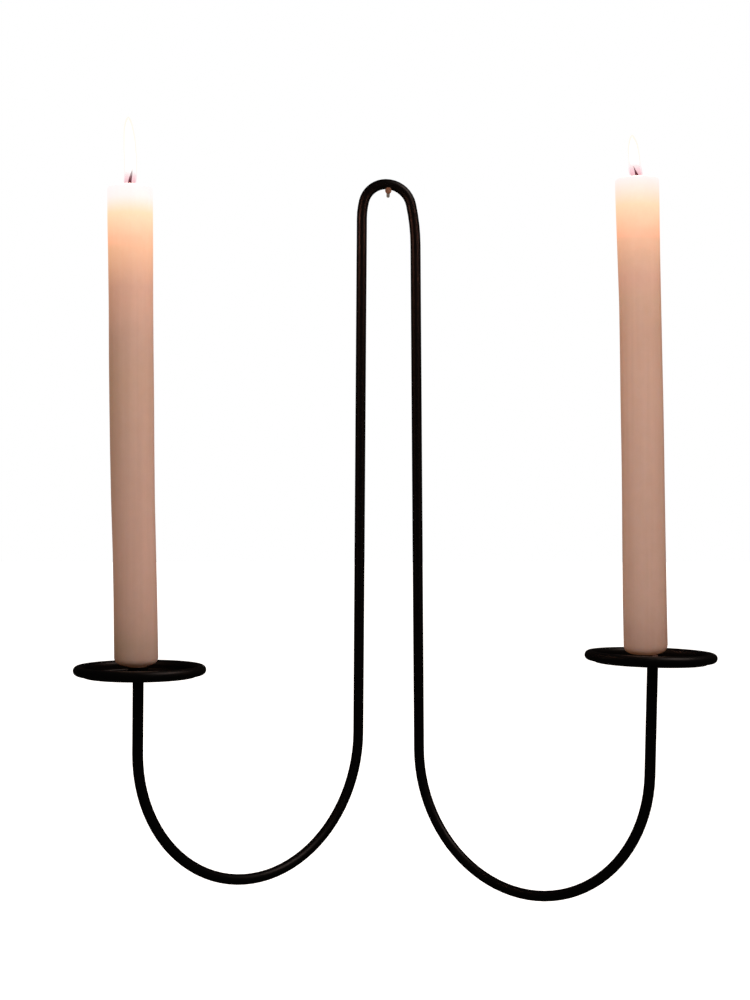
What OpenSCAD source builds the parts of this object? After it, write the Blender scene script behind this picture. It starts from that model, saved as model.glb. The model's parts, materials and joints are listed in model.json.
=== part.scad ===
// Wall sconce for two candles: one bent steel rod hangs by its top loop from a nail,
// and carries a drip pan with a candle spike on the end of each arm.
// Frame: origin where the nail's axis meets the wall, X right, Y into the wall, Z up. Millimetres.
// Pairs of values are [left, right], as seen from the room.

/* [Rod] */
// Diameter of the round steel rod
rod_d = 5.5; // [4.5:0.5:6]
// Gap between the back of the rod and the wall
wall_gap = 0.3; // [0.1:0.1:1]

/* [Hanging loop] */
// Radius of the tight bend on each side of the crown
crown_r = [12, 14]; // [11:1:18]
// How far each tight bend turns, in degrees
crown_angle = [76, 78]; // [65:1:82]
// Radius of the easier bend that leads into each leg
shoulder_r = [40, 110]; // [30:5:140]
// Outward lean of each leg, in degrees
splay = 0.4; // [0:0.1:1]
// How far the crown's highest point stands left of the nail
crown_offset = 1.4; // [0:0.1:2]

/* [Arms] */
// Straight length of each leg
leg_len = [277, 271.5]; // [240:0.5:300]
// How far each arm swings out of the wall's plane towards the room, in degrees
swing = [40, 37]; // [30:1:50]
// Radius of the large bend under each arm
arm_r = 70.1; // [60:0.1:80]
// How far each large bend turns, in degrees
arm_angle = [180, 178]; // [176:0.5:182]
// Straight rise from the large bend to the underside of each pan
rise = [37.6, 55.5]; // [20:0.1:80]

/* [Drip pans] */
// Outer diameter over the rolled edge
pan_d = 65; // [55:1:75]
// Thickness of the pan's sheet
sheet_t = 0.7; // [0.5:0.1:0.8]
// Diameter of the wire inside the rolled edge
edge_wire_d = 3.2; // [2.3:0.1:3.4]
// Depth from the middle of the rolled edge to the underside
pan_drop = 3.4; // [3:0.1:4.5]
// How far each pan's middle stands off its rod, towards the middle of the sconce
pan_shift = [0.8, 1]; // [-1:0.1:1.2]
// Outward tilt of each pan from its rod end, in degrees
pan_tilt_out = [0.3, 0]; // [-2:0.1:2]
// Tilt of each pan towards the wall from its rod end, in degrees
pan_tilt_back = [-0.4, 1.4]; // [-2:0.1:2]

/* [Spikes] */
// Diameter of the turned boss that the candle stands on
boss_d = 10; // [8:0.5:12]
// Height of the boss above the pan's floor
boss_h = 4.3; // [2:0.1:5]
// Diameter of the spike at its foot
spike_d = 5; // [4:0.5:6]
// Height of the spike above the boss
spike_h = 28; // [20:1:34]
// Diameter of the tail that is screwed into the rod
tail_d = 2.9; // [2.4:0.1:3]

/* [Candles] */
// Candle diameter
candle_d = 21.5; // [20:0.5:24]
// Length of each candle from foot to rim
candle_len = [235.4, 233.8]; // [120:0.1:300]
// Diameter of the wick
wick_d = 1.5; // [1.2:0.1:2]
// How far each candle's axis stands outward of its spike
candle_shift = [1, -3.5]; // [-4:0.1:4]
// Outward lean of each candle from its spike, in degrees
candle_lean_out = [0.9, -2.3]; // [-2.5:0.1:2.5]
// Lean of each candle towards the wall from its spike, in degrees
candle_lean_back = [0.4, -0.2]; // [-1:0.1:1]

/* [Nail] */
// Diameter of the nail's neck, which the loop hangs on
nail_neck_d = 2.2; // [2.2:0.1:2.6]
// Diameter of the nail's shank in the wall
nail_d = 1.8; // [1.4:0.1:1.8]
// Diameter of the nail's head
nail_head_d = 3.4; // [3.2:0.1:5]
// Depth of the plain shank in the wall
nail_depth = 12; // [8:1:20]

/* [Hidden] */

LEFT = 0;
RIGHT = 1;
$fn = 96;

rod_r = rod_d / 2;
rod_sides = 32;                     // facets round the rod in the drawn mesh
joint_gap = 0.02;                   // between two steps of the rod
joint_over = 0.002;                 // what a sphere that closes a joint stands out
clear = 0.05;                       // between metal parts that nest
wax_clear = 0.3;                    // between the wax and the spike
cut = 1;                            // how far a cutting solid runs past what it cuts

// Rod ends are drilled for the spike's tail.
socket_r = tail_d / 2 + clear;
tail_len = 7;
end_spare = 0.5;                    // rod that is cut off flat against the pan
socket_depth = tail_len + 1;

// Rolled edge: a wire ring with the pan's sheet curled over it.
curl_in = edge_wire_d / 2 + clear;
curl_out = curl_in + sheet_t;
edge_r = pan_d / 2 - curl_out;      // radius of the wire's centre line
wall_in = edge_r - curl_out;
wall_out = wall_in + sheet_t;
corner_out = 1.7;                   // outer radius of the pressed corner
curl_gap_angle = 60;                // open part of the curl, below the edge

boss_top = boss_h + sheet_t - pan_drop;
spike_tip_d = 0.6;

// Candle: a stub round the spike, a flat shoulder, and a melted hollow round the wick.
candle_r = candle_d / 2;
stub_r = [4.6, 7.2];
stub_h = [1.9, 1];
foot_round = 1.7;
foot_r = candle_r - foot_round;
shoulder_h = [2.3, 1.6];
rim_round = 1.1;
pool_depth = 1.8;
pool_r = candle_r - rim_round;
wick_r = wick_d / 2;
wick_hole_r = wick_r + clear;
wick_above_spike = 3;
wick_bend_r = 14;
wick_bend_angle = 24;
wick_straight_top = 2.5;            // straight wick above the hollow's floor, below the bend

nail_neck = 5.8;                    // from the shoulder at the wall to the head
nail_head_t = 1.1;
nail_tip = 3;

// The loop's inside rests on the nail, on the right-hand tight bend.
nail_reach = crown_r[RIGHT] - rod_r - nail_neck_d / 2 - clear;
crown_z = crown_r[RIGHT] - sqrt(pow(nail_reach, 2) - pow(crown_offset, 2));
rod_y = -(rod_r + wall_gap);

// One side's way along the rod, from the crown to the pan:
// ["bend", radius, angle] and ["run", length] add rod, ["turn", angle] only turns the bending plane.
function rod_steps(s) = [
    ["bend", crown_r[s], crown_angle[s]],
    ["bend", shoulder_r[s], 90 - splay - crown_angle[s]],
    ["run", leg_len[s]],
    ["turn", 180 - swing[s]],
    ["bend", arm_r, arm_angle[s]],
    ["run", rise[s] + end_spare],
    ["turn", -swing[s]]
];

// Moves children to the end of a step. Local Z runs along the rod, and a bend turns it towards local X.
module after(step) {
    if (step[0] == "run")
        translate([0, 0, step[1]]) children();
    else if (step[0] == "turn")
        rotate([0, 0, step[1]]) children();
    else
        translate([step[1], 0, 0]) rotate([0, step[2], 0]) translate([-step[1], 0, 0]) children();
}

// The rod that one step adds. It stops a hair short, and the sphere at the next step's start closes it.
module rod_piece(step) {
    sphere(r = rod_r + joint_over, $fn = rod_sides);
    if (step[0] == "run")
        cylinder(d = rod_d, h = step[1] - joint_gap, $fn = rod_sides);
    if (step[0] == "bend")
        translate([step[1], 0, 0]) rotate([90, 0, 180])
            rotate_extrude(angle = step[2] - joint_gap / step[1] * 180 / PI)
                translate([step[1], 0]) circle(d = rod_d, $fn = rod_sides);
}

module rod_from(steps, i = 0) {
    if (i < len(steps)) {
        if (steps[i][0] != "turn")
            rod_piece(steps[i]);
        after(steps[i]) rod_from(steps, i + 1);
    }
}

module at_rod_end(steps, i = 0) {
    if (i < len(steps))
        after(steps[i]) at_rod_end(steps, i + 1) children();
    else
        children();
}

// Places a side's first step at the crown. The right side is the mirror image of the left.
module from_crown(s) {
    mirror([s, 0, 0]) translate([s == LEFT ? -crown_offset : crown_offset, rod_y, crown_z])
        rotate([0, 90, 180]) children();
}

// Pan frame: origin in the middle of the rolled edge, Z up through the spike, X towards the sconce's middle.
module at_pan(s) {
    from_crown(s) at_rod_end(rod_steps(s)) translate([0, 0, -end_spare])
        rotate([-pan_tilt_back[s], -pan_tilt_out[s], 0]) translate([0, 0, pan_drop]) children();
}

// Candle frame: origin at the candle's foot, Z along the candle.
module at_candle(s) {
    at_pan(s) translate([-candle_shift[s], 0, boss_top])
        rotate([-candle_lean_back[s], -candle_lean_out[s], 0]) children();
}

module bent_rod() {
    color("#1b1918") difference() {
        union() {
            from_crown(LEFT) rod_from(rod_steps(LEFT));
            from_crown(RIGHT) rod_from(rod_steps(RIGHT));
        }
        for (s = [LEFT, RIGHT]) at_pan(s) {
            translate([0, 0, -pan_drop - socket_depth]) cylinder(r = socket_r, h = socket_depth + cut);
            translate([0, 0, -pan_drop]) cylinder(d = 2 * rod_d, h = cut);
        }
    }
}

module pan_section() {
    // floor
    translate([0, -pan_drop]) square([wall_out - corner_out, sheet_t]);
    // pressed corner
    translate([wall_out - corner_out, corner_out - pan_drop]) intersection() {
        ring_section(corner_out - sheet_t, corner_out);
        translate([0, -corner_out]) square(corner_out);
    }
    // wall
    translate([wall_in, corner_out - pan_drop]) square([sheet_t, pan_drop - corner_out]);
    // curl over the edge wire
    translate([edge_r, 0]) difference() {
        ring_section(curl_in, curl_out);
        polygon([[0, 0], for (a = [180, 180 + curl_gap_angle / 2, 180 + curl_gap_angle])
            2 * curl_out * [cos(a), sin(a)]]);
    }
}

module ring_section(r_in, r_out) {
    difference() {
        circle(r = r_out);
        circle(r = r_in);
    }
}

module pan(s) {
    color("#1d1a19") at_pan(s) difference() {
        translate([pan_shift[s], 0, 0]) rotate_extrude() pan_section();
        translate([0, 0, -pan_drop - cut]) cylinder(d = tail_d + 4 * clear, h = sheet_t + 2 * cut);
    }
}

module edge_wire(s) {
    color("#6a6663") at_pan(s) translate([pan_shift[s], 0, 0])
        rotate_extrude() translate([edge_r, 0]) circle(d = edge_wire_d);
}

module spike(s) {
    color("#24211f") at_pan(s) {
        translate([0, 0, boss_top - boss_h - sheet_t - tail_len]) cylinder(d = tail_d, h = tail_len + sheet_t);
        translate([0, 0, boss_top - boss_h]) cylinder(d = boss_d, h = boss_h);
        translate([0, 0, boss_top]) cylinder(d1 = spike_d, d2 = spike_tip_d, h = spike_h);
    }
}

module candle_section(len, stub_r, stub_h, shoulder_h) {
    foot_h = shoulder_h + foot_round;
    difference() {
        union() {
            polygon([[0, 0], [stub_r, 0], [stub_r + 0.4, stub_h], [foot_r, shoulder_h],
                     [foot_r, foot_h], [0, foot_h]]);
            translate([foot_r, foot_h]) intersection() {
                circle(r = foot_round);
                translate([0, -foot_round]) square(foot_round);
            }
            translate([0, foot_h]) square([candle_r, len - rim_round - foot_h]);
            translate([0, len - rim_round]) square([candle_r - rim_round, rim_round]);
            translate([candle_r - rim_round, len - rim_round]) intersection() {
                circle(r = rim_round);
                square(rim_round);
            }
        }
        translate([0, len]) pool_section();
    }
}

// Melted hollow: a spherical cup, pool_depth deep and pool_r wide.
module pool_section() {
    cup_r = (pow(pool_r, 2) + pow(pool_depth, 2)) / (2 * pool_depth);
    intersection() {
        translate([0, cup_r - pool_depth]) circle(r = cup_r);
        translate([0, -pool_depth - cut]) square([candle_r, pool_depth + 2 * cut]);
    }
}

module candle(s) {
    color("#c9a08c") difference() {
        at_candle(s) rotate_extrude() candle_section(candle_len[s], stub_r[s], stub_h[s], shoulder_h[s]);
        at_candle(s) translate([0, 0, spike_h]) cylinder(r = wick_hole_r, h = candle_len[s]);
        at_pan(s) translate([0, 0, boss_top])
            cylinder(d1 = spike_d + 2 * wax_clear, d2 = spike_tip_d + 2 * wax_clear, h = spike_h + wax_clear);
        at_pan(s) translate([0, 0, boss_top - candle_d]) cylinder(d = 2 * candle_d, h = candle_d);
    }
}

module wick(s) {
    foot = spike_h + wick_above_spike;
    bend_at = candle_len[s] - pool_depth + wick_straight_top;
    color("#2c2422") at_candle(s) {
        translate([0, 0, foot]) cylinder(d = wick_d, h = bend_at - foot);
        translate([wick_bend_r, 0, bend_at]) rotate([90, 0, 180])
            rotate_extrude(angle = wick_bend_angle) translate([wick_bend_r, 0]) circle(d = wick_d);
    }
}

// Drawn along Z out of the wall, then laid along the wall's normal.
module wall_nail() {
    color("#9a6a4a") rotate([90, 0, 0]) {
        translate([0, 0, -nail_depth - nail_tip]) cylinder(d1 = 0.2, d2 = nail_d, h = nail_tip);
        translate([0, 0, -nail_depth]) cylinder(d = nail_d, h = nail_depth);
        cylinder(d = nail_neck_d, h = nail_neck);
        translate([0, 0, nail_neck]) rotate_extrude() intersection() {
            translate([0, nail_head_t - nail_head_d]) circle(r = nail_head_d);
            square([nail_head_d / 2, nail_head_t]);
        }
    }
}

bent_rod();
wall_nail();
pan(LEFT);  // left_pan
edge_wire(LEFT);  // left_edge_wire
spike(LEFT);  // left_spike
candle(LEFT);  // left_candle
wick(LEFT);  // left_wick
pan(RIGHT);  // right_pan
edge_wire(RIGHT);  // right_edge_wire
spike(RIGHT);  // right_spike
candle(RIGHT);  // right_candle
wick(RIGHT);  // right_wick
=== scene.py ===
import json
import math

import bpy
from mathutils import Matrix, Vector, noise


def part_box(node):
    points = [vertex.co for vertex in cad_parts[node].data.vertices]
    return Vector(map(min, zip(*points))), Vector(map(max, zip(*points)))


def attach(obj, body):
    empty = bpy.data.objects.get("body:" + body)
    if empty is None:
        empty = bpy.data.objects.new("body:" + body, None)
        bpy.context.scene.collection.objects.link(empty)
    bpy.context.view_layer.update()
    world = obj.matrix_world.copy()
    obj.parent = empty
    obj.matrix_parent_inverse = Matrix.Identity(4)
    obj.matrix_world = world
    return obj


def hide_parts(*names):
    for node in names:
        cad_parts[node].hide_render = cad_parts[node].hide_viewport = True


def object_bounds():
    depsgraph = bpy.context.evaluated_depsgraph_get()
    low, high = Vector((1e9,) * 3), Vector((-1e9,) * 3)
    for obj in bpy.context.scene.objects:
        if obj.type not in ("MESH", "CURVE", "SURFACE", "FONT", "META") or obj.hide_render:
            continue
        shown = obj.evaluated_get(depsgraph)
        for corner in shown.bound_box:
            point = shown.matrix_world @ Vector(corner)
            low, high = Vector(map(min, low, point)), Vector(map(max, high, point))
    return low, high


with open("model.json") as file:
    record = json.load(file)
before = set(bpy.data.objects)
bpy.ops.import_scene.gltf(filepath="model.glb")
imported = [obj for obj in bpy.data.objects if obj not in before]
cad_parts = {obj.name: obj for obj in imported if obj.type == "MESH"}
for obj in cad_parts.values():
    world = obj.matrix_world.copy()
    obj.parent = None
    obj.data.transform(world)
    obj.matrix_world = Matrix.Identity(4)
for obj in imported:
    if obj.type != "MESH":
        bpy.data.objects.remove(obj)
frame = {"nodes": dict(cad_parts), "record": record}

# A hand-bent wall sconce with two lit candles. The metal pieces are the CAD's own, with materials. The
# candles, wicks, flames and one crumb of spilt wax are made here. They are laid out in the world's frame at
# rest, so that their materials can go by height.
CAD_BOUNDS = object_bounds()
MM = 0.001
TAU = 2 * math.pi
WHITE = (1.0, 1.0, 1.0)
BLACK = (0.0, 0.0, 0.0)


def mount(name):
    """Place and axis of one of the record's mounts."""
    row = next(m for m in frame["record"]["mounts"] if m["name"] == name)
    return Vector(row["pos_m"]), Vector(row["axis"])


# ---------------------------------------------------------------- the camera
# It stands off the point where the nail meets the wall and looks along +Y, square to the wall.
EYE = mount("nail_shank")[0] + Vector((-7.15, -996.8, -166.35)) * MM
LENS_MM = 66.33
SENSOR_MM = 36.0
CLIP_START = 0.01

# ---------------------------------------------------------------- sizes, in metres
CANDLE_R = 10.75 * MM
RIM_ROUND = 1.6 * MM
POOL_R = 8.2 * MM
POOL_DEPTH = 1.5 * MM
SPIKE_HOLE_R = 2.9 * MM
SPIKE_HOLE_H = 28.3 * MM
SPIKE_TIP_R = 0.6 * MM
MENISCUS = 0.4 * MM              # how high the melted wax climbs the wick
CUT_ROUGHNESS = 0.20 * MM
LIP_ROUGHNESS = 0.08 * MM
BODY_ROUGHNESS = 0.06 * MM
WICK_R = 0.72 * MM
WICK_ROOT = 1.2 * MM             # wick below the pool's floor
WICK_TIP = 0.3 * MM              # point above the last ring
WICK_STRANDS = 3
WICK_TWIST = 5.0                 # radians along its height
WICK_FRAY = 0.05 * MM
BOSS_R = 5.0 * MM
FOOT_SAG = 0.5 * MM              # how far the wax hangs down past the boss's edge
SAG_START = 0.15 * MM            # from the boss's edge
SAG_RUN = 0.9 * MM
SEAT_GAP = 0.02 * MM             # between the wax and the boss's face
NAIL_HEAD_T = 1.1 * MM
PLATING_EDGE = 0.2 * MM          # the head's copper fades into the neck's zinc over twice this
RUB_FROM, RUB_TO = 1.4 * MM, 3.0 * MM
FLOOR_GAP = 30 * MM              # floor below the lowest bend
FLOOR_HALF = 6.0

# Points round a ring and steps along a piece.
CANDLE_POINTS, CANDLE_STEPS, RIM_STEPS = 96, 72, 8
WICK_POINTS, WICK_STEPS = 36, 36
FLAME_POINTS, FLAME_STEPS = 48, 72
CRUMB_POINTS, CRUMB_STEPS = 24, 14

# From the rim down into the pool and up against the wick: (radius, share of the pool's depth, share of the
# rim's unevenness).
POOL_PROFILE = [(CANDLE_R - RIM_ROUND - 0.35 * MM, 0.12, 0.9), (POOL_R + 0.25 * MM, 0.5, 0.6),
                (POOL_R - 0.25 * MM, 0.88, 0.25), (POOL_R - 0.9 * MM, 1.0, 0.0),
                (POOL_R * 0.62, 1.0, 0.0), (POOL_R * 0.34, 0.99, 0.0),
                (WICK_R + 0.55 * MM, 0.93, 0.0), (WICK_R + 0.12 * MM, 0.74, 0.0)]

# One candle each, in millimetres unless a line says MM. The foot is its outline from the spike outwards, as
# (radius, height), and the cut in its middle stands stub_x off the axis. The crumb of spilt wax is its
# place from the middle of the boss and its half size. Bow moves the axis to the right and swell widens the
# body, both by share of height. The flame is (height above the rim, radius, drift to the right), and glow
# is the flame's light in the wax by depth below the rim.
# Glow is painted light: emission for the flame's light near the top, and a faint painted light at the foot.
CANDLES = {
    "left": {
        "body": "candle_left",
        "foot": [(3.6, 0), (4.2, 0), (4.45, 0.12), (4.7, 0.45), (5.1, 0.8), (6.4, 1.1), (7.9, 1.5),
                 (9.1, 2.0), (9.95, 2.6), (10.45, 3.3), (10.75, 4.3)],
        "stub_x": 0.5 * MM,
        "seed": 3.0,
        "bow": [(0, 0.15), (0.14, 0.13), (0.24, -0.05), (0.34, -0.36), (0.45, -0.40), (0.65, -0.25),
                (0.76, -0.03), (0.86, 0.09), (0.92, 0.12), (1, 0.30)],
        "swell": [(0, 0.02), (0.05, 0.0), (0.14, -0.12), (0.24, -0.17), (0.34, -0.07), (0.45, 0.07),
                  (0.55, 0.17), (0.65, 0.14), (0.76, 0.11), (0.86, 0.21), (0.92, 0.31), (1, 0.36)],
        "wick_h": 11.3 * MM,
        "wick_x": -0.45 * MM,
        "wick_lean": 2.1 * MM,
        "flame": [(-0.8, 2.6, -0.3), (1.1, 2.95, -0.25), (2.6, 3.07, 0), (5.5, 3.15, 0.2),
                  (8.5, 3.15, 0.25), (14.4, 3.15, 0.2), (17.3, 3.15, -0.05), (20.3, 3.07, -0.15),
                  (23.2, 2.93, -0.27), (26.1, 2.68, -0.52), (27.6, 2.5, -0.64), (29.1, 2.25, -0.72),
                  (30.5, 1.98, -0.77), (32, 1.6, -0.84), (33.3, 1.05, -0.88), (34.4, 0, -0.9)],
        "glow": [(0, (1, 0.93, 0.95)), (6, (1, 0.89, 0.87)), (14, (1, 0.7, 0.45)), (26, (1, 0.45, 0.27)),
                 (31, (0.75, 0.39, 0.22)), (50, (0.36, 0.17, 0.11)), (75, (0.17, 0.087, 0.059)),
                 (95, (0.13, 0.068, 0.039)), (125, (0.1, 0.052, 0.034)), (180, (0.1, 0.047, 0.033)),
                 (215, (0.051, 0.022, 0.012)), (224, (0.024, 0.013, 0.002)),
                 (238, (0.034, 0.012, 0.007))],
    },
    "right": {
        "body": "candle_right",
        "foot": [(6.0, 0), (6.9, 0), (7.25, 0.12), (7.75, 0.4), (8.5, 0.75), (9.2, 1.15), (9.85, 1.7),
                 (10.3, 2.4), (10.6, 3.2), (10.75, 4.2)],
        "stub_x": -0.3 * MM,
        "crumb": ((0.4, -5.3, -1.0), (1.4, 0.9, 0.9)),
        "seed": 11.0,
        "bow": [(0, 0.12), (0.11, 0.05), (0.22, 0.20), (0.32, 0.37), (0.43, 0.49), (0.53, 0.54),
                (0.64, 0.53), (0.74, 0.55), (0.84, 0.32), (0.90, 0.24), (1, 0.14)],
        "swell": [(0, 0.03), (0.11, 0.0), (0.22, -0.15), (0.32, -0.23), (0.43, -0.28), (0.53, -0.30),
                  (0.64, -0.43), (0.74, -0.50), (0.84, -0.31), (0.90, -0.17), (0.96, -0.02), (1, 0.0)],
        "wick_h": 7.4 * MM,
        "wick_x": 0.5 * MM,
        "wick_lean": -2.05 * MM,
        "flame": [(-0.8, 2.6, -0.1), (1, 2.95, -0.2), (2.2, 3.2, -0.44), (3.7, 3.35, -0.75),
                  (5.2, 3.2, -0.92), (6.7, 3.05, -1.08), (9.6, 2.87, -1.3), (12.6, 2.8, -1.6),
                  (14.1, 2.72, -1.77), (15.5, 2.55, -1.85), (17, 2.3, -1.93), (18.5, 1.92, -2.08),
                  (20, 1.35, -2.25), (21, 0.75, -2.33), (21.7, 0, -2.36)],
        "glow": [(0, (1, 0.89, 0.9)), (14, (1, 0.64, 0.41)), (26, (1, 0.41, 0.24)),
                 (31, (0.65, 0.33, 0.19)), (42, (0.43, 0.22, 0.13)), (50, (0.33, 0.15, 0.096)),
                 (60, (0.22, 0.11, 0.059)), (75, (0.16, 0.073, 0.039)), (125, (0.098, 0.045, 0.025)),
                 (215, (0.063, 0.029, 0.015)), (224, (0.046, 0.014, 0.005)), (230, (0.061, 0.023, 0.009)),
                 (238, (0.061, 0.023, 0.009))],
    },
}
FLAME_CORE_INSET = 0.75 * MM
INSET_AT_BASE = 0.35             # share of the inset at the flame's base
INSET_RUN = 0.2                  # share of the flame's height where the inset is whole
FLAME_THINNEST = 0.05 * MM
FLAME_UNEVEN = 0.006             # share of the flame's height by which its colours wander

# What both flame skins show above the rim: (height in millimetres, light, how much it hides).
FLAME_BASE = [(0, (0.90, 0.34, 0.44), 0.04), (1.4, (0.84, 0.14, 0.24), 0.05),
              (3.6, (1.0, 0.46, 0.54), 0.10), (6.2, (1.0, 0.86, 0.86), 0.28)]
# The base also stains what is seen through it: (height in millimetres, tint of one skin).
FLAME_STAIN = [(0, (0.990, 0.931, 0.942)), (1.4, (0.978, 0.882, 0.896)),
               (3.6, (1.0, 0.940, 0.949)), (6.2, WHITE)]
BASE_END = 9.0                   # height in millimetres where the skins take their own colours

# ---------------------------------------------------------------- light
FLAME_LIGHT = (1.0, 0.38, 0.24)
FLAME_WATTS = 0.13
TALL_FLAME = 32.6                # height in millimetres of a flame that gives FLAME_WATTS
FLAME_LIGHT_R = 9.0 * MM
FLAME_LIGHT_SHARE = 0.55         # height of the light as a share of the flame's
AMBIENT = ((1.0, 0.84, 0.70), 0.34)
REFLECTED_ROOM = ((1.0, 0.88, 0.80), 0.012)
# Name, place from the object's middle, diameter, watts, colour, and whether it shows in reflections.
STUDIO = [("key", (0.09, -0.37, 0.12), 0.20, 0.52, (0.90, 0.92, 1.0), False),
          ("back_fill", (-0.8, 1.2, 0.5), 0.8, 6.0, (1.0, 0.90, 0.84), False),
          ("ceiling", (0.7, -0.3, 1.0), 0.7, 2.8, (1.0, 0.78, 0.70), True)]


# ---------------------------------------------------------------- small helpers
def lerp_table(table, t):
    """Straight-line value at t of a list of (t, value) pairs."""
    if t <= table[0][0]:
        return table[0][1]
    for (t0, v0), (t1, v1) in zip(table, table[1:]):
        if t <= t1:
            return v0 + (v1 - v0) * (t - t0) / (t1 - t0)
    return table[-1][1]


def smooth(t):
    """Soft step from 0 to 1."""
    t = min(max(t, 0.0), 1.0)
    return t * t * (3 - 2 * t)


def frame_along(origin, axis):
    """Matrix whose Z runs along axis and whose X stays near the world's X."""
    z = axis.normalized()
    x = (Vector((1, 0, 0)) - z * z.x).normalized()
    y = z.cross(x)
    m = Matrix((x, y, z)).transposed().to_4x4()
    m.translation = origin
    return m


def loft(name, rings, place, material, ends=(None, None)):
    """A closed skin through rings of equal count, with a point at each end, placed by a matrix."""
    count = len(rings[0])
    verts = [v for ring in rings for v in ring]
    faces = []
    for i in range(len(rings) - 1):
        for j in range(count):
            k = (j + 1) % count
            faces.append((i * count + j, i * count + k, (i + 1) * count + k, (i + 1) * count + j))
    for end, base, flip in ((ends[0], 0, True), (ends[1], (len(rings) - 1) * count, False)):
        verts.append(end)
        tip = len(verts) - 1
        for j in range(count):
            k = (j + 1) % count
            faces.append((base + k, base + j, tip) if flip else (base + j, base + k, tip))
    mesh = bpy.data.meshes.new(name)
    mesh.from_pydata([place @ Vector(v) for v in verts], [], faces)
    mesh.validate()
    mesh.shade_smooth()
    mesh.materials.append(material)
    obj = bpy.data.objects.new(name, mesh)
    bpy.context.scene.collection.objects.link(obj)
    return obj


def circle_ring(r, z, count, cx=0.0, cy=0.0, wobble=None):
    """Points of a level circle. Wobble adds to the radius by angle."""
    ring = []
    for j in range(count):
        a = TAU * j / count
        rr = r + (wobble(a) if wobble else 0.0)
        ring.append((cx + rr * math.cos(a), cy + rr * math.sin(a), z))
    return ring


# ---------------------------------------------------------------- materials
class Nodes:
    """Short calls for building one material's node tree."""

    def __init__(self, name):
        self.mat = bpy.data.materials.new(name)
        self.mat.use_nodes = True
        self.tree = self.mat.node_tree
        self.tree.nodes.clear()
        self.out = self.new("ShaderNodeOutputMaterial")

    def new(self, kind, **settings):
        node = self.tree.nodes.new(kind)
        for key, value in settings.items():
            setattr(node, key, value)
        return node

    def link(self, a, b):
        self.tree.links.new(a, b)

    def coords(self):
        return self.new("ShaderNodeTexCoord").outputs["Object"]

    def scaled(self, scale):
        m = self.new("ShaderNodeMapping")
        m.inputs["Scale"].default_value = scale
        self.link(self.coords(), m.inputs["Vector"])
        return m.outputs["Vector"]

    def noise(self, scale, detail=3.0, rough=0.55, vector=None):
        n = self.new("ShaderNodeTexNoise")
        n.inputs["Scale"].default_value = scale
        n.inputs["Detail"].default_value = detail
        n.inputs["Roughness"].default_value = rough
        self.link(vector or self.coords(), n.inputs["Vector"])
        return n.outputs["Fac"]

    def ramp(self, fac, stops):
        r = self.new("ShaderNodeValToRGB")
        e = r.color_ramp.elements
        while len(e) < len(stops):
            e.new(0.5)
        for element, (pos, colour) in zip(e, stops):
            element.position = pos
            element.color = (*colour, 1.0)
        self.link(fac, r.inputs["Fac"])
        return r.outputs["Color"]

    def span(self, value, low, high, to_low=0.0, to_high=1.0):
        m = self.new("ShaderNodeMapRange")
        for key, v in (("From Min", low), ("From Max", high), ("To Min", to_low), ("To Max", to_high)):
            m.inputs[key].default_value = v
        self.link(value, m.inputs["Value"])
        return m.outputs["Result"]

    def math(self, op, a, b):
        m = self.new("ShaderNodeMath", operation=op)
        for socket, v in zip(m.inputs, (a, b)):
            if isinstance(v, (int, float)):
                socket.default_value = v
            else:
                self.link(v, socket)
        return m.outputs[0]

    def mix(self, fac, a, b, blend="MIX"):
        m = self.new("ShaderNodeMix", data_type="RGBA", blend_type=blend)
        for socket, v in ((m.inputs[0], fac), (m.inputs[6], a), (m.inputs[7], b)):
            if isinstance(v, (int, float)):
                socket.default_value = v
            elif isinstance(v, tuple):
                socket.default_value = (*v, 1.0)
            else:
                self.link(v, socket)
        return m.outputs[2]

    def bump(self, height, distance, strength=1.0, below=None):
        b = self.new("ShaderNodeBump")
        b.inputs["Distance"].default_value = distance
        b.inputs["Strength"].default_value = strength
        self.link(height, b.inputs["Height"])
        if below is not None:
            self.link(below, b.inputs["Normal"])
        return b.outputs["Normal"]

    def principled(self, **sockets):
        p = self.new("ShaderNodeBsdfPrincipled")
        for key, v in sockets.items():
            socket = p.inputs[key.replace("_", " ")]
            if isinstance(v, bpy.types.NodeSocket):
                self.link(v, socket)
            else:
                socket.default_value = (*v, 1.0) if socket.type == "RGBA" else v
        self.link(p.outputs["BSDF"], self.out.inputs["Surface"])

    def height(self):
        s = self.new("ShaderNodeSeparateXYZ")
        self.link(self.coords(), s.inputs[0])
        return s.outputs["Z"]


def black_lacquer(name, tint):
    """Satin black stove lacquer with an orange-peel skin and brown patches, worn where the loop hangs."""
    n = Nodes(name)
    patches = n.ramp(n.noise(260, 4, 0.6), [(0.42, BLACK), (0.72, WHITE)])
    colour = n.mix(patches, tint, (0.0022, 0.0015, 0.0013))
    specks = n.ramp(n.noise(2600, 2, 0.5), [(0.70, BLACK), (0.76, WHITE)])
    colour = n.mix(n.math("MULTIPLY", specks, 0.5), colour, (0.010, 0.007, 0.006))
    rub = n.new("ShaderNodeVectorMath", operation="LENGTH")
    # distance from the nail's root, where its own length counts less
    n.link(n.scaled((1.0, 0.35, 1.0)), rub.inputs[0])
    near = n.span(rub.outputs["Value"], RUB_FROM, RUB_TO, 1.0, 0.0)
    worn = n.math("MULTIPLY", near, n.span(n.noise(1500, 3), 0.35, 0.6))
    colour = n.mix(worn, colour, (0.06, 0.045, 0.035))
    rough = n.span(n.noise(420, 4, 0.6), 0.3, 0.7, 0.36, 0.46)
    peel = n.bump(n.noise(900, 2, 0.4), 0.03 * MM, 0.3)
    grain = n.bump(n.noise(5200, 2, 0.5), 0.01 * MM, 0.25, peel)
    n.principled(Base_Color=colour, Roughness=rough, Normal=grain, Specular_IOR_Level=0.5, IOR=1.5)
    return n.mat


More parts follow.
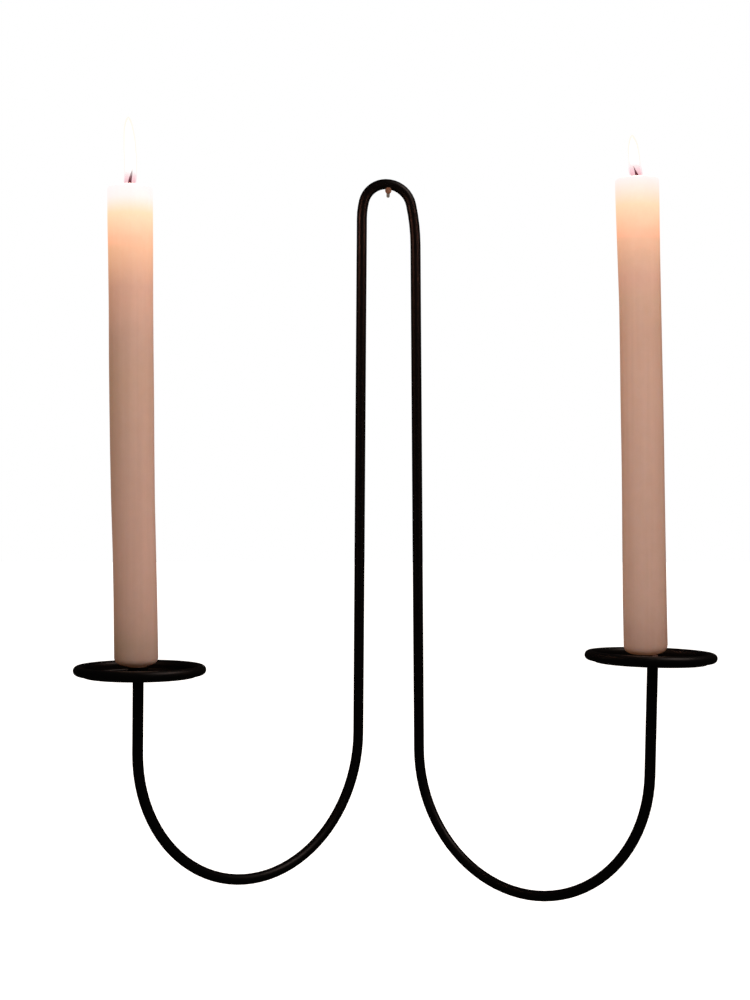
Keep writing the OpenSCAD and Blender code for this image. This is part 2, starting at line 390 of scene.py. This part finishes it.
def plain_steel(name):
    """Drawn steel wire, a little oxidised."""
    n = Nodes(name)
    stain = n.noise(700, 4, 0.6)
    colour = n.ramp(stain, [(0.3, (0.16, 0.14, 0.12)), (0.6, (0.10, 0.075, 0.055)),
                            (0.8, (0.06, 0.035, 0.02))])
    rough = n.span(stain, 0.3, 0.7, 0.4, 0.65)
    n.principled(Base_Color=colour, Roughness=rough, Metallic=0.85, Normal=n.bump(n.noise(4000), 0.01 * MM))
    return n.mat


def copper_nail(name, head_y):
    """Coppery head with brown tarnish, on a bright galvanised neck and shank."""
    n = Nodes(name)
    tarnish = n.noise(1400, 4, 0.65)
    copper = n.ramp(tarnish, [(0.30, (0.46, 0.25, 0.15)), (0.55, (0.26, 0.13, 0.08)),
                              (0.78, (0.10, 0.05, 0.035))])
    zinc = n.ramp(tarnish, [(0.3, (0.86, 0.84, 0.82)), (0.7, (0.68, 0.64, 0.60))])
    place = n.new("ShaderNodeSeparateXYZ")
    n.link(n.coords(), place.inputs[0])
    behind = n.span(place.outputs["Y"], head_y - PLATING_EDGE, head_y + PLATING_EDGE)
    colour = n.mix(behind, copper, zinc)
    rough = n.span(tarnish, 0.3, 0.75, 0.36, 0.62)
    dents = n.bump(n.noise(1900, 2), 0.06 * MM, 0.6)
    n.principled(Base_Color=colour, Roughness=rough, Metallic=0.35, Normal=dents)
    return n.mat


def wax(name, top_z, foot_z, glow):
    """Pinkish beige wax: the flame's light soaks down from the top as a painted glow; the foot has painted
    shade.
    """
    n = Nodes(name)
    depth = n.math("SUBTRACT", top_z, n.height())
    # Painted glow: emission that stands in for the flame's light in the wax, fading by depth below the rim.
    reach = glow[-1][0] * MM
    painted_glow = n.ramp(n.math("DIVIDE", depth, reach), [(d * MM / reach, c) for d, c in glow])
    # Painted shade: the base colour darkens at the foot, and nearly to black at the top under the painted
    # glow.
    body = n.ramp(n.span(n.height(), foot_z, top_z),
                  [(0.0, (0.52, 0.35, 0.28)), (0.12, (0.57, 0.38, 0.305)), (0.5, (0.60, 0.40, 0.315)),
                   (0.75, (0.56, 0.38, 0.30)), (0.9, (0.34, 0.24, 0.19)), (1.0, (0.10, 0.09, 0.08))])
    streaks = n.noise(1.0, 3, 0.5, n.scaled((420, 420, 9)))
    streak = n.span(streaks, 0.35, 0.65, 0.0, 0.16)
    body = n.mix(streak, body, (0.40, 0.25, 0.19))
    mottle = n.noise(120, 4, 0.6)
    body = n.mix(n.span(mottle, 0.4, 0.7, 0.0, 0.14), body, (0.74, 0.51, 0.43))
    painted_glow = n.mix(n.math("MULTIPLY", streak, 0.5), painted_glow, n.mix(1.0, painted_glow, (0.80, 0.76, 0.74), "MULTIPLY"))
    rough = n.span(n.noise(300, 3), 0.3, 0.7, 0.42, 0.58)
    skin = n.bump(n.noise(1.0, 2, 0.5, n.scaled((260, 260, 40))), 0.12 * MM, 0.5)
    fine = n.bump(n.noise(1800, 3), 0.02 * MM, 0.4, skin)
    n.principled(Base_Color=body, Roughness=rough, Normal=fine, Specular_IOR_Level=0.35, IOR=1.44,
                 Subsurface_Weight=0.25, Subsurface_Radius=(1.0, 0.45, 0.25), Subsurface_Scale=4 * MM,
                 Emission_Color=painted_glow, Emission_Strength=1.0)
    return n.mat


def shade_darkened_wax(name):
    """Spilt wax painted dark brown: a painted shade, as it lies in shadow at the candle's foot."""
    n = Nodes(name)
    crumb_noise = n.noise(1600, 4, 0.6)
    # The dark brown is painted shade, not the wax's own colour; the noise only varies it.
    colour = n.ramp(crumb_noise, [(0.3, (0.22, 0.12, 0.09)), (0.7, (0.07, 0.035, 0.028))])
    n.principled(Base_Color=colour, Roughness=n.span(crumb_noise, 0.3, 0.7, 0.45, 0.7),
                 Normal=n.bump(crumb_noise, 0.05 * MM, 0.6), Specular_IOR_Level=0.35, IOR=1.44)
    return n.mat


def burnt_wick(name, foot_z, tip_z):
    """Waxed cotton at the bottom, char above it, and a dull red ember at the tip."""
    n = Nodes(name)
    up = n.span(n.height(), foot_z, tip_z)
    base = n.ramp(up, [(0.0, (0.05, 0.02, 0.02)), (0.2, (0.006, 0.0025, 0.004)),
                       (0.9, (0.003, 0.0015, 0.002)), (1.0, (0.02, 0.01, 0.008))])
    ember = n.ramp(up, [(0.0, BLACK), (0.90, BLACK), (1.0, (0.45, 0.12, 0.05))])
    threads = n.bump(n.noise(1.0, 2, 0.5, n.scaled((6000, 6000, 2200))), 0.08 * MM, 0.9)
    n.principled(Base_Color=base, Roughness=0.9, Normal=threads, Specular_IOR_Level=0.1,
                 Emission_Color=ember, Emission_Strength=1.0)
    return n.mat


def fire(name, low_z, stops):
    """Light with no surface. A stop is (height above low_z in millimetres, light, how much it hides)."""
    n = Nodes(name)
    reach = stops[-1][0] * MM
    strength = max(v for _, colour, _ in stops for v in colour)
    up = n.span(n.height(), low_z, low_z + reach)
    up = n.math("ADD", up, n.span(n.noise(700, 2), 0.3, 0.7, -FLAME_UNEVEN, FLAME_UNEVEN))
    glow = n.new("ShaderNodeEmission")
    glow.inputs["Strength"].default_value = strength
    light = n.ramp(up, [(z * MM / reach, tuple(v / strength for v in colour)) for z, colour, _ in stops])
    n.link(light, glow.inputs["Color"])
    clear = n.new("ShaderNodeBsdfTransparent")
    n.link(n.ramp(up, [(z * MM / reach, tint) for z, tint in FLAME_STAIN]), clear.inputs["Color"])
    both = n.new("ShaderNodeMixShader")
    n.link(n.ramp(up, [(z * MM / reach, (a, a, a)) for z, _, a in stops]), both.inputs[0])
    n.link(clear.outputs[0], both.inputs[1])
    n.link(glow.outputs[0], both.inputs[2])
    n.link(both.outputs[0], n.out.inputs["Surface"])
    return n.mat


# ---------------------------------------------------------------- the metal parts, straight from the CAD
METAL = [(black_lacquer("lacquer_rod", (0.0011, 0.0011, 0.0012)),
          ("bent_rod", "left_spike", "right_spike")),
         (black_lacquer("lacquer_pan", (0.0013, 0.0012, 0.0012)), ("left_pan", "right_pan")),
         (plain_steel("edge_wire_steel"), ("left_edge_wire", "right_edge_wire")),
         (copper_nail("nail_copper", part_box("wall_nail")[0].y + NAIL_HEAD_T), ("wall_nail",))]
for material, nodes in METAL:
    for node in nodes:
        for slot in frame["nodes"][node].material_slots:
            slot.material = material


# ---------------------------------------------------------------- candles, wicks and flames
def candle_axis(node):
    """Foot, top and axis of a candle that leans towards -X, from its box."""
    low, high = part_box(node)
    foot = Vector((high.x - CANDLE_R, (low.y + high.y) / 2, low.z))
    top = Vector((low.x + CANDLE_R, (low.y + high.y) / 2, high.z))
    return foot, top


def wax_wobble(seed, amount, lobes):
    """A slow ripple round a ring from (waves, weight) pairs, the same every run."""
    def at(a):
        return amount * sum(w * math.sin(k * a + seed * (k + 1)) for k, w in lobes)
    return at


def candle_body(side, facts, place, length, material):
    """Hand-cut foot round the spike's hole, a bowed body, a soft rim and a melted pool."""
    count, seed = CANDLE_POINTS, facts["seed"]
    stand, axis = mount(side + "_candle_spike")
    inverse = place.inverted()
    spike = inverse @ stand
    lean = (inverse.to_3x3() @ axis).normalized()

    def on_foot(x, y):
        """Height of the boss's face, which the spike stands square on, at a point of the candle's foot."""
        return spike.z - (lean.x * (x - spike.x) + lean.y * (y - spike.y)) / lean.z

    def sag(x, y):
        """How far the wax hangs down past the boss's edge."""
        return FOOT_SAG * smooth((math.hypot(x - spike.x, y - spike.y) - BOSS_R - SAG_START) / SAG_RUN)

    def shaped(ring):
        """Bows and swells a ring that was laid out round the straight axis."""
        out = []
        for x, y, z in ring:
            share = z / length
            k = 1 + lerp_table(facts["swell"], share) * MM / CANDLE_R
            out.append((x * k + lerp_table(facts["bow"], share) * MM, y * k, z))
        return out

    def dip(z):
        """The body's unevenness round a ring at a height."""
        def at(a):
            place = Vector((math.cos(a) * 1.4, math.sin(a) * 1.4, z * 28 + seed))
            return BODY_ROUGHNESS * noise.noise(place)
        return at

    rings = []
    # the spike's hole, from its tip down to the foot
    for t in (0.97, 0.66, 0.33, 0.0):
        centre = spike + lean * (SPIKE_HOLE_H * t)
        r = SPIKE_HOLE_R + (SPIKE_TIP_R - SPIKE_HOLE_R) * t
        ring = circle_ring(r, 0.0, count, cx=centre.x, cy=centre.y)
        rings.append([(x, y, on_foot(x, y) + SPIKE_HOLE_H * t + SEAT_GAP) for x, y, _ in ring])
    # the foot: a ragged cut face that rounds out into the body
    cut = wax_wobble(seed, CUT_ROUGHNESS, ((3, 1.0), (7, 0.6), (11, 0.45), (17, 0.3)))
    foot_h = facts["foot"][-1][1] * MM
    for r, z in facts["foot"]:
        fade = 1 - z * MM / foot_h
        ring = circle_ring(r * MM, z * MM, count, cx=facts["stub_x"] * fade ** 2,
                           wobble=lambda a: cut(a) * fade ** 2)
        rings.append([(x, y, zz + fade ** 4 * (on_foot(x, y) + SEAT_GAP) - fade * sag(x, y))
                      for x, y, zz in shaped(ring)])
    # the body
    low, high = foot_h, length - RIM_ROUND
    for i in range(1, CANDLE_STEPS):
        z = low + (high - low) * i / CANDLE_STEPS
        rings.append(shaped(circle_ring(CANDLE_R, z, count, wobble=dip(z))))
    # the rim, softened by the heat and a little uneven
    lip = wax_wobble(seed + 5, LIP_ROUGHNESS, ((1, 1.0), (2, 0.7), (3, 0.5), (5, 0.25)))
    for k in range(RIM_STEPS + 1):
        a = math.radians(90 * k / RIM_STEPS)
        r = CANDLE_R - RIM_ROUND * (1 - math.cos(a))
        z = high + RIM_ROUND * math.sin(a)
        rings.append(shaped([(x, y, zz + lip(math.atan2(y, x)) * math.sin(a))
                             for x, y, zz in circle_ring(r, z, count)]))
    # down into the pool, flat liquid wax, and up against the wick
    for r, drop, t in POOL_PROFILE:
        z = length - POOL_DEPTH * drop
        ring = circle_ring(r, z, count, cx=facts["wick_x"] * max(0.0, 1 - r / POOL_R))
        rings.append(shaped([(x, y, zz + lip(math.atan2(y, x)) * t) for x, y, zz in ring]))
    tip = spike + lean * SPIKE_HOLE_H
    wick_x = lerp_table(facts["bow"], 1.0) * MM + facts["wick_x"]
    return loft(side + "_candle_wax", rings, place, material,
                ends=(tuple(tip), (wick_x, 0, length - POOL_DEPTH + MENISCUS)))


def wick_body(side, facts, place, length, material):
    """Three twisted strands that bow over, fray and thin towards the burnt tip."""
    count, steps, seed = WICK_POINTS, WICK_STEPS, facts["seed"]
    rings = []
    base = length - POOL_DEPTH
    axis_x = lerp_table(facts["bow"], 1.0) * MM + facts["wick_x"]
    for i in range(-2, steps + 1):
        t = i / steps
        x = axis_x + facts["wick_lean"] * max(t, 0.0) ** 1.6
        z = base + facts["wick_h"] * t
        # charred cotton swells above the wax, and wears away towards the tip
        thin = (1.0 + 0.12 * smooth((t - 0.1) / 0.12)) * (1.0 - 0.78 * smooth((t - 0.35) / 0.65))
        ring = []
        for j in range(count):
            a = TAU * j / count
            strand = abs(math.cos(WICK_STRANDS / 2 * (a - WICK_TWIST * t + seed)))
            r = WICK_R * thin * (0.86 + 0.16 * strand)
            r += WICK_FRAY * noise.noise(Vector((math.cos(a) * 3, math.sin(a) * 3, t * 14 + seed)))
            ring.append((x + r * math.cos(a), r * math.sin(a), z))
        rings.append(ring)
    return loft(side + "_wick_burnt", rings, place, material,
                ends=((axis_x, 0, base - WICK_ROOT),
                      (axis_x + facts["wick_lean"] * 1.05, 0, base + facts["wick_h"] + WICK_TIP)))


def flame_body(name, facts, rim, inset, material):
    """A teardrop over the rim that drifts sideways with height. Inset makes the brighter core inside it."""
    count, steps = FLAME_POINTS, FLAME_STEPS
    radii = [(z, r) for z, r, _ in facts["flame"]]
    drifts = [(z, x) for z, _, x in facts["flame"]]
    low, high = radii[0][0], radii[-1][0]
    rings = []
    for i in range(steps + 1):
        # rings crowd towards the tip, so that it stays round
        z = low + (high - low) * (1 - (1 - i / steps) ** 1.5)
        r = lerp_table(radii, z) * MM
        x = lerp_table(drifts, z) * MM
        share = (z - low) / (high - low)
        whole = INSET_AT_BASE + (1 - INSET_AT_BASE) * min(1.0, share / INSET_RUN)
        r = max(r - inset * whole, FLAME_THINNEST)
        rings.append(circle_ring(r, z * MM - inset * 1.2 * share, count, cx=x))
    # two passes of smoothing along the height
    for _ in range(2):
        inner = [[tuple((Vector(a) + Vector(b) * 2 + Vector(c)) / 4) for a, b, c in zip(p, q, s)]
                 for p, q, s in zip(rings, rings[1:], rings[2:])]
        rings = [rings[0], *inner, rings[-1]]
    ends = []
    for ring, step in ((rings[0], -0.05 * MM), (rings[-1], 0.02 * MM)):
        mid = sum((Vector(v) for v in ring), Vector()) / count
        ends.append((mid.x, mid.y, mid.z + step))
    return loft(name, rings, Matrix.Translation(rim), material, ends=ends)


def flame_lamp(name, rim, tall):
    """The flame's light on what is round it, stronger for a taller flame."""
    lamp = bpy.data.lights.new(name, "POINT")
    lamp.color = FLAME_LIGHT
    lamp.energy = FLAME_WATTS * tall / TALL_FLAME
    lamp.shadow_soft_size = FLAME_LIGHT_R
    bulb = bpy.data.objects.new(name, lamp)
    bulb.location = rim + Vector((0, 0, tall * FLAME_LIGHT_SHARE * MM))
    bulb.visible_camera = False
    bpy.context.scene.collection.objects.link(bulb)


def wax_crumb(name, middle, half, seed, material):
    """A lump of spilt wax. Half is its half size along each axis."""
    count = CRUMB_POINTS
    rings = []
    for i in range(1, CRUMB_STEPS):
        a = math.pi * i / CRUMB_STEPS
        ring = []
        for x, y, z in circle_ring(math.sin(a), -math.cos(a), count):
            k = 1 + 0.35 * noise.noise(Vector((x, y, z)) * 1.6 + Vector((seed, 0, 0)))
            ring.append((x * half[0] * k, y * half[1] * k, z * half[2] * k))
        rings.append(ring)
    return loft(name, rings, Matrix.Translation(middle), material, ends=((0, 0, -half[2]), (0, 0, half[2])))


for side, facts in CANDLES.items():
    node = side + "_candle"
    foot, top = candle_axis(node)
    place = frame_along(foot, top - foot)
    length = (top - foot).length
    body = facts["body"]

    piece = candle_body(side, facts, place, length, wax(side + "_wax", top.z, foot.z, facts["glow"]))
    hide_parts(node)
    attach(piece, body)

    if "crumb" in facts:
        offset, half = facts["crumb"]
        middle = mount(side + "_candle_spike")[0] + Vector(offset) * MM
        crumb = wax_crumb(side + "_wax_crumb", middle, [v * MM for v in half], facts["seed"],
                          shade_darkened_wax(side + "_crumb_wax"))
        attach(crumb, "sconce")

    wick_foot = top.z - POOL_DEPTH
    wick = wick_body(side, facts, place, length,
                     burnt_wick(side + "_char", wick_foot, wick_foot + facts["wick_h"]))
    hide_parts(side + "_wick")
    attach(wick, body)

    rim = top + Vector((lerp_table(facts["bow"], 1.0) * MM, 0, 0))
    tall = facts["flame"][-1][0]
    white = [(BASE_END, (1.6, 1.6, 1.6), 0.76), (tall * 0.5, (1.6, 1.6, 1.6), 0.95),
             (tall, (1.6, 1.6, 1.57), 0.8)]
    cream = [(BASE_END, (1.0, 0.94, 0.84), 0.26), (tall * 0.7, (1.0, 0.93, 0.77), 0.28),
             (tall, (1.0, 0.92, 0.74), 0.30)]
    for skin, look, inset, stops in (("_flame_core", "_flame_white", FLAME_CORE_INSET, white),
                                     ("_flame_mantle", "_flame_cream", 0.0, cream)):
        flame = flame_body(side + skin, facts, rim, inset, fire(side + look, rim.z, FLAME_BASE + stops))
        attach(flame, body)
        flame.visible_diffuse = flame.visible_glossy = flame.visible_shadow = False
    flame_lamp(side + "_flame_light", rim, tall)


# ---------------------------------------------------------------- floor, sky and lights
def pale_floor(low_z):
    """A white floor that glows a little, and is not seen in reflections."""
    n = Nodes("pale_floor")
    tone = n.ramp(n.noise(3.0, 2), [(0.0, (0.92, 0.92, 0.92)), (1.0, (0.96, 0.96, 0.96))])
    n.principled(Base_Color=tone, Roughness=0.9, Emission_Color=WHITE, Emission_Strength=1.0)
    mesh = bpy.data.meshes.new("floor")
    h = FLOOR_HALF
    mesh.from_pydata([(-h, -h, low_z), (h, -h, low_z), (h, h, low_z), (-h, h, low_z)], [], [(0, 1, 2, 3)])
    mesh.materials.append(n.mat)
    obj = bpy.data.objects.new("floor", mesh)
    bpy.context.scene.collection.objects.link(obj)
    obj.visible_glossy = obj.visible_diffuse = False


def sky():
    """White behind the object, soft warm ambient light, and a dim room in the lacquer's reflections."""
    world = bpy.data.worlds.new("sky")
    bpy.context.scene.world = world
    world.use_nodes = True
    t = world.node_tree
    t.nodes.clear()
    path = t.nodes.new("ShaderNodeLightPath")

    def tone(colour, strength):
        b = t.nodes.new("ShaderNodeBackground")
        b.inputs["Color"].default_value = (*colour, 1.0)
        b.inputs["Strength"].default_value = strength
        return b.outputs[0]

    def pick(fac, a, b):
        m = t.nodes.new("ShaderNodeMixShader")
        t.links.new(fac, m.inputs[0])
        t.links.new(a, m.inputs[1])
        t.links.new(b, m.inputs[2])
        return m.outputs[0]

    unseen = pick(path.outputs["Is Glossy Ray"], tone(*AMBIENT), tone(*REFLECTED_ROOM))
    seen = pick(path.outputs["Is Camera Ray"], unseen, tone(WHITE, 1.0))
    out = t.nodes.new("ShaderNodeOutputWorld")
    t.links.new(seen, out.inputs["Surface"])


def area_light(name, location, target, size, energy, colour, glossy):
    """A soft round light that faces the target and that the camera cannot see."""
    lamp = bpy.data.lights.new(name, "AREA")
    lamp.shape = "DISK"
    lamp.size = size
    lamp.energy = energy
    lamp.color = colour
    obj = bpy.data.objects.new(name, lamp)
    obj.location = location
    obj.rotation_euler = (target - location).to_track_quat("-Z", "Y").to_euler()
    obj.visible_camera = False
    obj.visible_glossy = glossy
    bpy.context.scene.collection.objects.link(obj)


low, high = CAD_BOUNDS
centre = (low + high) / 2
pale_floor(low.z - FLOOR_GAP)
sky()
for name, offset, size, watts, colour, glossy in STUDIO:
    area_light(name, centre + Vector(offset), centre, size, watts, colour, glossy)

scene = bpy.context.scene
scene.view_settings.view_transform = "Standard"
cam_data = bpy.data.cameras.new("camera")
cam_data.lens = LENS_MM
cam_data.sensor_width = SENSOR_MM
cam_data.sensor_fit = "AUTO"
cam_data.clip_start = CLIP_START
camera = bpy.data.objects.new("camera", cam_data)
camera.location = EYE
camera.rotation_euler = (math.radians(90), 0, 0)
scene.collection.objects.link(camera)
scene.camera = camera
